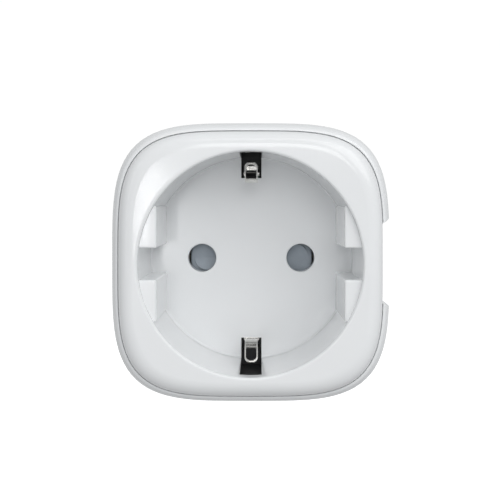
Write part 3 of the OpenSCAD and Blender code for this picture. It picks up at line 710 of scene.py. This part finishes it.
rib_tree = bpy.data.node_groups.new("rib_mirrors", "GeometryNodeTree")
rib_tree.interface.new_socket("Geometry", in_out="INPUT", socket_type="NodeSocketGeometry")
rib_tree.interface.new_socket("Geometry", in_out="OUTPUT", socket_type="NodeSocketGeometry")
rib_in = rib_tree.nodes.new("NodeGroupInput")
rib_join = rib_tree.nodes.new("GeometryNodeJoinGeometry")
rib_real = rib_tree.nodes.new("GeometryNodeRealizeInstances")
rib_paint = rib_tree.nodes.new("GeometryNodeSetMaterial")
rib_paint.inputs["Material"].default_value = FINISH["cover_white"]
rib_out = rib_tree.nodes.new("NodeGroupOutput")
for sx in (-1, 1):
    for sz in (-1, 1):
        flip = rib_tree.nodes.new("GeometryNodeTransform")
        flip.inputs["Scale"].default_value = (sx, 1, sz)
        rib_tree.links.new(rib_in.outputs[0], flip.inputs["Geometry"])
        last = flip
        if sx * sz < 0:
            last = rib_tree.nodes.new("GeometryNodeFlipFaces")
            rib_tree.links.new(flip.outputs[0], last.inputs[0])
        rib_tree.links.new(last.outputs[0], rib_join.inputs[0])
rib_tree.links.new(rib_join.outputs[0], rib_real.inputs[0])
rib_tree.links.new(rib_real.outputs[0], rib_paint.inputs["Geometry"])
rib_tree.links.new(rib_paint.outputs[0], rib_out.inputs[0])
step = rib.modifiers.new("mirrors", "NODES")
step.node_group = rib_tree
outward(set_solid(rib))
print("ribs:", len(rib.data.polygons), "faces")

# %% [markdown]
# Behind the frame stand the four screw posts that pull the two halves together, and
# behind the floor the small post that the shutter turns on. They are turned shapes.

# %% Cover: posts
SCREW_AT = 16.7
POST_R, POST_BORE_R, POST_END_Y = 2.2, 1.15, -21.3
SHUTTER_POST_R, SHUTTER_POST_Y = 1.5, -34.6
posts = []
for x in (-SCREW_AT, SCREW_AT):
    for z in (-SCREW_AT, SCREW_AT):
        posts.append(turned("screw_post", [
            (RIM_Y + 1.6, POST_R), (-30, POST_R - 0.05), (POST_END_Y, POST_R - 0.1),
            (POST_END_Y, POST_BORE_R), (-29, POST_BORE_R)], x, z, 32))
posts.append(turned("shutter_post", [
    (FLOOR_BACK_Y - 0.2, SHUTTER_POST_R), (SHUTTER_POST_Y - 0.2, SHUTTER_POST_R),
    (SHUTTER_POST_Y, SHUTTER_POST_R - 0.2)], count=32))
join(cover, rib, *posts)
hand_over(cover, "housing", ["front_cover"], "cover_white")

# %% [markdown]
# ## The rear housing
# The housing takes the other half of the rule. From the seam it swells in a quarter
# ellipse, runs nearly straight, and closes in a rounded edge round its flat back. Its right side
# has the finger recess with the button. A recess could be cut with a boolean, but
# the cut would leave knife edges. Sinking it in the rule itself keeps one smooth sheet, so the
# edges get a real radius. For that the columns near the recess must run straight, so
# they are placed by height and not by angle, and they crowd together along its edges.

# %% Housing: rows and columns
FRONT_Y = SEAM_Y + 0.12
FRONT_HALF, LIP_HALF = 23.32, 21.97
GROOVE = 0.35
FLARE_END_Y = SEAM_Y + 8
TUB_WALL, TUB_BACK_WALL, TAPER = 1.8, 2.1, 0.4
BACK_ROUND_Y = BACK_Y - 3.2
recess_rows = [-27.3 + 0.13 * i for i in range(22)]
outer_straight = [-45, -42, -39, -36, -33, -30, -28.4, *recess_rows, -23.6, -22.2, -21.2]


def outer_half(y):
    """Half-width of the nearly straight part, which tapers a little to the back."""
    return BODY_HALF - TAPER * (y - FLARE_END_Y) / (BACK_ROUND_Y - FLARE_END_Y)


housing_rows = [(BACK_Y - 1.8 - 2 * c, BODY_HALF - 3.8 + 1.6 * s, SQUARE, 1)
                for c, s in quarter(4)]
housing_rows += [(y, BODY_HALF - TUB_BACK_WALL, SQUARE, 1)
                 for y in (-23.4, -24.2, -24.8, -25.4, -26.4, -30, -36, -42)]
housing_rows += [(FLARE_END_Y - 7.53 * s, LIP_HALF + (BODY_HALF - TUB_WALL - LIP_HALF) * (1 - c),
                  SQUARE, 1) for c, s in quarter(6)]
housing_rows += [(FRONT_Y + GROOVE, 22.1, SQUARE, 0),
                 (FRONT_Y + GROOVE, FRONT_HALF - 0.17, SQUARE, 0),
                 (FRONT_Y, FRONT_HALF - 0.02, SQUARE, 0)]
housing_rows += [(FLARE_END_Y - 7.88 * (1 - c), FRONT_HALF + (BODY_HALF - FRONT_HALF) * s,
                  SQUARE, 0) for c, s in quarter(26)]
housing_rows += [(y, outer_half(y), SQUARE, 0) for y in outer_straight]
housing_rows += [(BACK_ROUND_Y + (BACK_Y - BACK_ROUND_Y) * s, BODY_HALF - 3.2 + 2.8 * (1 - c),
                  SQUARE, 0) for c, s in quarter(12)]
housing_rows += [(BACK_Y, BODY_HALF - 3.6, SQUARE, 0)]
edge_band = [6.7 + 0.12 * i for i in range(16)]
heights = [-9.6, -9.0, *[-h for h in reversed(edge_band)], -6.2, -5, -3.7, -2.4, -1.2, 0,
           1.2, 2.4, 3.7, 5, 6.2, *edge_band, 9.0, 9.6]


def housing_angles(row):
    """Directions by height on the right side, and evenly spread over the rest."""
    half, power = row[1], row[2]
    right = [math.atan2(h, half * (1 - abs(h / half) ** power) ** (1 / power)) for h in heights]
    rest = math.tau - 2 * right[-1]
    return right + [right[-1] + rest * i / 132 for i in range(1, 132)]


housing = raise_sheet("rear_housing_shell", housing_rows, housing_angles,
                      shell_tree("housing_rule", FINISH["housing_white"], True),
                      RECESS_SIZES)
print("housing:", len(housing.data.vertices), "points in", len(housing_rows), "rows")

# %% [markdown]
# The floor of the recess takes the push button and, beside it, the end of the light guide.
# Both openings are cut with lofted cutters whose last rings flare, which rounds the mouth.


# %% Housing: openings for the button, the light and the screws
def stadium(length, width, y, count=16):
    """Points of a slot with round ends: long along Z, narrow along Y, centred at y and z = 0."""
    radius, reach = width / 2, (length - width) / 2
    points = []
    for end, start in ((1, 0.0), (-1, math.pi)):
        points += [(y + radius * math.cos(start + math.pi * i / count),
                    end * reach + radius * math.sin(start + math.pi * i / count))
                   for i in range(count + 1)]
    return points


def flared(name, outline, floor_x, flare):
    """A cutter along X whose outline(grow) widens where it leaves the recess floor."""
    rings = [[(x, y, z) for y, z in outline(grow)] for x, grow in
             [(floor_x - 2.6, 0), (floor_x - flare, 0)]
             + [(floor_x - flare + flare * s, flare * c) for c, s in quarter(4)[1:]]
             + [(floor_x + 0.8, flare)]]
    return outward(lofted(name, rings))


BUTTON_Y, LIGHT_Y = -33, -28
combine(housing, flared("button_cutter", lambda grow: stadium(10.3 + 2 * grow, 6.3 + 2 * grow,
                                                              BUTTON_Y), RECESS_X, 0.18))
combine(housing, flared("light_cutter", lambda grow: circle(0.95 + grow, LIGHT_Y, 0, 32),
                        RECESS_X, 0.12))
POCKET_R, SHANK_HOLE_R, POCKET_DEPTH = 2.3, 1.3, 1.1
pocket = [(BACK_Y - 2.4, SHANK_HOLE_R), (BACK_Y - POCKET_DEPTH, SHANK_HOLE_R),
          (BACK_Y - POCKET_DEPTH, POCKET_R), (BACK_Y - 0.2, POCKET_R),
          (BACK_Y - 0.06, POCKET_R + 0.06), (BACK_Y, POCKET_R + 0.2),
          (BACK_Y + 0.4, POCKET_R + 0.2)]
for x in (-SCREW_AT, SCREW_AT):
    for z in (-SCREW_AT, SCREW_AT):
        combine(housing, turned("screw_pocket", pocket, x, z, 48))
print("housing after cutting:", len(housing.data.polygons), "faces")

# %% [markdown]
# ## The plug's barrel
# The barrel that enters the wall outlet is a round bar with flats on its sides. Each flat carries
# a lug, and a groove at the top and one at the bottom hold the earth strips.
# Its outline is drawn once and carried along the axis. The end is rounded, because a plug
# has to find its way into an outlet.


# %% Barrel
def plug_outline(radius, flat, lug):
    """The barrel's outline, anticlockwise from the lower edge of the right lug."""
    tip, shoulder = math.asin(lug / radius), math.acos(flat / radius)
    right = [(flat, -lug)] + [(radius * math.cos(-tip + 2 * tip * i / 8),
                               radius * math.sin(-tip + 2 * tip * i / 8)) for i in range(9)]
    right += [(flat, lug)]
    top = [(radius * math.cos(shoulder + (math.pi - 2 * shoulder) * i / 44),
            radius * math.sin(shoulder + (math.pi - 2 * shoulder) * i / 44)) for i in range(45)]
    return right + top + [(-x, -z) for x, z in right + top]


def shrunk(outline, by):
    """The outline drawn in towards its middle, for a rounded end."""
    return [(x - by * x / math.hypot(x, z), z - by * z / math.hypot(x, z)) for x, z in outline]


BARREL_R, BARREL_FLAT, LUG_HALF, BARREL_ROUND = 18.6, 15.8, 2.4, 0.9
COLLAR_SEAT_R, EARTH_HOLE_R, EARTH_HOLE_Z = 3.05, 2.6, 10
barrel_line = plug_outline(BARREL_R, BARREL_FLAT, LUG_HALF)
barrel_rings = [[(x, BACK_Y - 0.1, z) for x, z in barrel_line],
                [(x, -BARREL_ROUND, z) for x, z in barrel_line]]
barrel_rings += [[(x, BARREL_ROUND * (s - 1), z)
                  for x, z in shrunk(barrel_line, BARREL_ROUND * c)] for c, s in quarter(6)[1:]]
barrel = outward(lofted("plug_barrel", barrel_rings))
for up in (-1, 1):
    groove = [(-2.2, up * 15.9), (2.2, up * 15.9), (2.5, up * 20), (-2.5, up * 20)]
    combine(barrel, prism("groove_cutter", groove, "Y", BACK_Y - 0.6, 0.6))
for side in (-1, 1):
    seat = [(-2.3, COLLAR_SEAT_R), (-0.12, COLLAR_SEAT_R), (0, COLLAR_SEAT_R + 0.12),
            (0.5, COLLAR_SEAT_R + 0.12)]
    combine(barrel, turned("collar_cutter", seat, x=side * PIN_X))
earth_hole = [(-16.4, EARTH_HOLE_R), (-0.35, EARTH_HOLE_R), (-0.1, EARTH_HOLE_R + 0.1),
              (0, EARTH_HOLE_R + 0.35), (0.5, EARTH_HOLE_R + 0.35)]
combine(barrel, turned("sleeve_cutter", earth_hole, z=EARTH_HOLE_Z))
soften(barrel, 0.16, 2, 55)
print("barrel:", len(barrel.data.polygons), "faces")

# %% Housing: hand over
join(housing, barrel)
hand_over(housing, "housing", ["rear_housing"], "housing_white")

# %% [markdown]
# ## Screws by Geometry Nodes
# Four equal screws hold the halves together. One screw is turned and gets its cross recess.
# Then a tree sets an instance of it on each of four points and turns each by its own
# amount, because nobody drives four screws to the same angle. The seed is fixed, so the
# turns are the same in every run.

# %% One screw
SCREW_LENGTH, SHANK_R, HEAD_R, HEAD_T = 12, 1.0, 2.2, 1.0
CROSS_WIDE, CROSS_LONG, CROSS_DEPTH, CROSS_TAPER = 0.28, 1.35, 0.75, 0.55
profile = [(BACK_Y - SCREW_LENGTH, 0.4), (BACK_Y - SCREW_LENGTH + 0.6, SHANK_R),
           (BACK_Y - HEAD_T, SHANK_R + 0.05), (BACK_Y - HEAD_T, HEAD_R - 0.1),
           (BACK_Y - 0.85, HEAD_R), (BACK_Y - 0.35, HEAD_R - 0.02), (BACK_Y - 0.12, HEAD_R - 0.2),
           (BACK_Y, HEAD_R - 0.6)]
screw = turned("cross_screw", profile, count=48)
for wide, tall in ((CROSS_WIDE, CROSS_LONG), (CROSS_LONG, CROSS_WIDE)):
    mouth = upright_box(wide, -tall, tall)
    combine(screw, outward(lofted("cross_cutter", [
        [(x * CROSS_TAPER, BACK_Y - CROSS_DEPTH, z * CROSS_TAPER) for x, z in mouth],
        [(x, BACK_Y + 0.05, z) for x, z in mouth]])))
screw.data.transform(Matrix.Translation((0, -BACK_Y, 0)))
screw_faces = len(screw.data.polygons)

# %% Four screws
screw_tree = bpy.data.node_groups.new("screws_on_points", "GeometryNodeTree")
screw_tree.interface.new_socket("Geometry", in_out="INPUT", socket_type="NodeSocketGeometry")
size_socket = screw_tree.interface.new_socket("Screw Size", in_out="INPUT",
                                              socket_type="NodeSocketFloat")
screw_tree.interface.new_socket("Geometry", in_out="OUTPUT", socket_type="NodeSocketGeometry")
screw_in = screw_tree.nodes.new("NodeGroupInput")
screw_out = screw_tree.nodes.new("NodeGroupOutput")
screw_shape = screw_tree.nodes.new("GeometryNodeObjectInfo")
screw_shape.inputs["Object"].default_value = screw
screw_turn = screw_tree.nodes.new("FunctionNodeRandomValue")
screw_turn.data_type = "FLOAT_VECTOR"
screw_turn.inputs["Min"].default_value = (0, 0, 0)
screw_turn.inputs["Max"].default_value = (0, math.pi / 2, 0)
screw_turn.inputs["Seed"].default_value = 7
screw_set = screw_tree.nodes.new("GeometryNodeInstanceOnPoints")
screw_real = screw_tree.nodes.new("GeometryNodeRealizeInstances")
screw_paint = screw_tree.nodes.new("GeometryNodeSetMaterial")
screw_paint.inputs["Material"].default_value = FINISH["screw_steel"]
for start, end in ((screw_in.outputs["Geometry"], screw_set.inputs["Points"]),
                   (screw_shape.outputs["Geometry"], screw_set.inputs["Instance"]),
                   (screw_turn.outputs["Value"], screw_set.inputs["Rotation"]),
                   (screw_in.outputs["Screw Size"], screw_set.inputs["Scale"]),
                   (screw_set.outputs[0], screw_real.inputs[0]),
                   (screw_real.outputs[0], screw_paint.inputs["Geometry"]),
                   (screw_paint.outputs[0], screw_out.inputs[0])):
    screw_tree.links.new(start, end)
screws = new_piece("housing_screws_set", [(x, BACK_Y, z) for x in (-SCREW_AT, SCREW_AT)
                                          for z in (-SCREW_AT, SCREW_AT)], [])
step = screws.modifiers.new("four_screws", "NODES")
step.node_group = screw_tree
step[size_socket.identifier] = 1.0
set_solid(screws)
bpy.data.objects.remove(screw)
print("one screw:", screw_faces, "faces, four:", len(screws.data.polygons))
hand_over(screws, "housing", ["housing_screws"], "screw_steel")

# %% [markdown]
# ## Pins
# A pin is turned from bar: a collar that stops it in the plug's face, the 4.8 mm shank and
# a rounded tip. Turning is a profile swept round a line, so the profile is all we draw.

# %% Pins
PIN_R, PIN_STRAIGHT, PIN_TIP, PIN_TIP_R = 2.4, 17.2, 1.8, 1.15
PIN_TAIL_R, COLLAR_R, COLLAR_Y = 1.1, 2.98, -2.2
for node, side in (("live_pin", -1), ("neutral_pin", 1)):
    profile = [(BACK_Y - 1.9, PIN_TAIL_R), (COLLAR_Y, PIN_TAIL_R), (COLLAR_Y, COLLAR_R - 0.03),
               (-0.08, COLLAR_R), (0, COLLAR_R - 0.08), (0, PIN_R + 0.05), (0.1, PIN_R),
               (PIN_STRAIGHT, PIN_R)]
    profile += [(PIN_STRAIGHT + PIN_TIP * s, PIN_TIP_R + (PIN_R - PIN_TIP_R) * (1 - c))
                for c, s in quarter(8)[1:]]
    pin = turned(node + "_turned", profile, x=side * PIN_X)
    hand_over(pin, "housing", [node], "pin_nickel")

# %% [markdown]
# ## Earth strips of the plug
# A flat nickel-plated strip lies in each groove. It is stamped from sheet, so its edges are only
# slightly rounded, and its end is turned in to slide past the outlet's spring.

# %% Earth strips
for node, up in (("plug_earth_strip_top", 1), ("plug_earth_strip_bottom", -1)):
    low, high = corner_mm(node)
    inner, outer = sorted((low.z, high.z), key=abs)
    mid = (inner + outer) / 2
    ends = [(low.y, 2.1, inner, outer), (high.y - 1.6, 2.1, inner, outer),
            (high.y - 0.5, 2.0, inner, mid + 0.25 * up), (high.y, 1.85, inner, mid)]
    strip = outward(lofted(node + "_stamped", [
        [(-w, y, a), (w, y, a), (w, y, b), (-w, y, b)] for y, w, a, b in ends]))
    soften(strip, 0.12, 2, 50)
    hand_over(strip, "housing", [node], "clip_nickel")

# %% [markdown]
# ## Earth clips of the socket
# The springs in the well are what the eye lands on first. Each is a bent strip of thin sheet
# with a window punched near its round tip. It is drawn the way it is made: first the flat blank
# with its window, as rows along its length, and then the blank is bent along
# a smooth path. A solidify step gives it the thickness of the sheet.


# %% Clip: the bend line
def smooth_path(points, step=0.2):
    """A Catmull-Rom curve through 2-D points, resampled evenly along its length."""
    points = [Vector(p) for p in points]
    padded = [2 * points[0] - points[1], *points, 2 * points[-1] - points[-2]]
    fine = []
    for a, b, c, d in zip(padded, padded[1:], padded[2:], padded[3:]):
        for i in range(24):
            t = i / 24
            fine.append(0.5 * ((2 * b) + (c - a) * t + (2 * a - 5 * b + 4 * c - d) * t ** 2
                               + (3 * b - a - 3 * c + d) * t ** 3))
    fine.append(points[-1])
    lengths = [0.0]
    for a, b in zip(fine, fine[1:]):
        lengths.append(lengths[-1] + (b - a).length)
    count = round(lengths[-1] / step)
    even, k = [], 0
    for i in range(count + 1):
        want = lengths[-1] * i / count
        while k < len(fine) - 2 and lengths[k + 1] < want:
            k += 1
        share = (want - lengths[k]) / max(lengths[k + 1] - lengths[k], 1e-9)
        even.append(fine[k].lerp(fine[k + 1], min(share, 1.0)))
    return even, lengths[-1]


STRIP_Z = 16.35
clip_path = [(-37.2, STRIP_Z + 1.85), (-37.2, STRIP_Z + 1.2), (-37.2, STRIP_Z + 0.55),
             (-37.5, STRIP_Z + 0.08),
             (FLOOR_Y + 1.8, STRIP_Z), (FLOOR_Y - 1, STRIP_Z - 0.2), (FLOOR_Y - 4.5, STRIP_Z - 1.1),
             (FLOOR_Y - 7, STRIP_Z - 1.65), (FLOOR_Y - 8.3, STRIP_Z - 1.85),
             (FLOOR_Y - 9.2, STRIP_Z - 1.75), (FLOOR_Y - 10.1, STRIP_Z - 1.2),
             (FLOOR_Y - 11.3, STRIP_Z + 0.2), (FLOOR_Y - 12.35, STRIP_Z + 1.5)]
bend_line, blank_length = smooth_path(clip_path)
print("clip blank:", round(blank_length, 1), "mm long")

# %% Clip: blank, window and bend
HALF_W, HOLE_HALF, TIP_R, CLIP_X = 1.18, 0.95, 1.15, 0.07
HOLE_START, HOLE_END, HOLE_TIP, RAIL = 3.8, 0.36, 0.8, 0.22
SHEET_THICK = 0.42


def blank_width(s):
    """Half-width of the blank at a distance s along it, with the round tip."""
    past = s - (blank_length - TIP_R)
    if past <= 0:
        return HALF_W
    return max(HALF_W * math.sqrt(max(0.0, 1 - (past / TIP_R) ** 2)), 0.42)


def window_half(s):
    """Half-width of the punched window, or None where the sheet is whole."""
    start, end = blank_length - HOLE_START, blank_length - HOLE_END
    if not start <= s <= end:
        return None
    past = max(s - (end - HOLE_TIP), 0.0) / HOLE_TIP
    return max(HOLE_HALF * math.sqrt(max(0.0, 1 - past ** 2)), 0.3)


def bent_clip(name, up):
    """A clip on the upper side (up = 1) or the lower side (up = -1)."""
    corners, faces, whole = [], [], []
    for i, point in enumerate(bend_line):
        s = blank_length * i / (len(bend_line) - 1)
        edge, hole = blank_width(s), window_half(s)
        inner = min(hole if hole else HOLE_HALF, edge - RAIL)
        corners += [(CLIP_X + x, point.x, up * point.y) for x in (-edge, -inner, inner, edge)]
        whole.append(hole is None)
    for i in range(len(bend_line) - 1):
        for k in range(3):
            if k == 1 and not (whole[i] or whole[i + 1]):
                continue
            a, b = 4 * i + k, 4 * (i + 1) + k
            faces.append((a, a + 1, b + 1, b))
    piece = new_piece(name, corners, faces)
    outward(piece)
    step = piece.modifiers.new("sheet", "SOLIDIFY")
    step.thickness, step.offset, step.use_even_offset = SHEET_THICK, 0, True
    set_solid(piece)
    outward(piece)
    return soften(piece, 0.05, 2, 50)


for node, body, up in (("earth_clip_top", "clip_top", 1), ("earth_clip_bottom", "clip_bottom", -1)):
    hand_over(bent_clip(node + "_bent", up), body, [node], "clip_nickel", crease=45)

# %% [markdown]
# ## The shutter
# Behind the two pin holes turns a bluish-grey disc that keeps the contacts covered. Under each
# hole it carries a round pad that the pin lands on. The two pads' faces slope opposite ways, so
# that the pins turn the disc as they press on it. Two notches, 40 degrees further round, let the
# pins through once the disc has turned.

# %% Shutter
low, high = corner_mm("shutter")
disc_y = low.y + 0.5
SHUTTER_R, HUB_R, PIVOT_R, NOTCH_R, NOTCH_TURN = 11.9, 2.6, 1.55, 3.075, 40
PAD_R, PAD_INSET, PAD_SLOPE = 2.55, 0.8, 0.19
shutter = turned("shutter_disc", [(disc_y, SHUTTER_R - 0.6), (disc_y + 0.06, SHUTTER_R - 0.15),
                                  (disc_y + 0.2, SHUTTER_R), (disc_y + 0.6, SHUTTER_R),
                                  (disc_y + 0.7, SHUTTER_R - 0.1)], count=96)
hub = turned("shutter_hub", [(disc_y + 0.6, HUB_R), (high.y, HUB_R - 0.05)], count=48)
combine(shutter, hub, "UNION")
for side in (-1, 1):
    x = side * (PIN_X - PAD_INSET)
    rings = [[(x + a, y - slope * z * side, z) for a, z in circle(r, 0, 0, 64)]
             for y, r, slope in ((disc_y + 0.6, PAD_R, 0), (low.y + 0.62, PAD_R, PAD_SLOPE),
                                 (low.y + 0.54, PAD_R - 0.05, PAD_SLOPE),
                                 (low.y + 0.5, PAD_R - 0.15, PAD_SLOPE))]
    combine(shutter, outward(lofted("landing_pad", rings)), "UNION")
for side in (-1, 1):
    lean = math.radians(side * 90 + NOTCH_TURN)
    combine(shutter, turned("notch_cutter", [(low.y - 0.3, NOTCH_R), (low.y + 1.5, NOTCH_R)],
                            PIN_X * math.sin(lean), PIN_X * math.cos(lean), 64))
pivot = [(low.y - 0.5, PIVOT_R), (high.y + 0.5, PIVOT_R)]
combine(shutter, turned("pivot_cutter", pivot, count=48))
hand_over(shutter, "shutter", ["shutter"], "shutter_grey")

# %% [markdown]
# ## The push button
# The button is a slot-shaped key with a softly crowned face. It is lofted through
# slot outlines: a flange behind the wall that stops it falling out, a straight side,
# a rounded edge, and rings that climb gently to the middle.

# %% Push button
low, high = corner_mm("push_button")
BUTTON_LONG, BUTTON_WIDE, FLANGE, LIP, KEY_ROUND = 10, 6, 0.6, 0.7, 0.42
profile = [(low.x, -LIP + 0.04), (low.x + 0.06, -LIP), (low.x + FLANGE - 0.06, -LIP),
           (low.x + FLANGE, -LIP + 0.04), (low.x + FLANGE, 0), (high.x - 0.5, 0)]
profile += [(high.x - 0.5 + KEY_ROUND * s, KEY_ROUND * c) for c, s in quarter(6)[1:]]
profile += [(high.x - 0.05, 0.9), (high.x - 0.02, 1.6), (high.x, 2.5)]
button_rings = [[(x, y, z) for y, z in stadium(BUTTON_LONG - 2 * inset, BUTTON_WIDE - 2 * inset,
                                               BUTTON_Y)] for x, inset in profile]
button = outward(lofted("push_button_crowned", button_rings))
hand_over(button, "button", ["push_button"], "button_white")

# %% [markdown]
# ## The light guide
# A short milky rod carries the light of the diode to the recess. Its end is a shallow dome, so
# that it can be seen from the side.

# %% Light guide
low, high = corner_mm("light_guide")
guide_rings = [[(x, y, z) for y, z in circle(r, LIGHT_Y, 0, 32)] for x, r in
               [(low.x, 0.8), (low.x + 0.1, 0.9), (high.x - 0.3, 0.9), (high.x - 0.12, 0.82),
                (high.x - 0.03, 0.6), (high.x, 0.3)]]
guide = outward(lofted("light_guide_rod", guide_rings))
hand_over(guide, "housing", ["light_guide"], "light_guide")
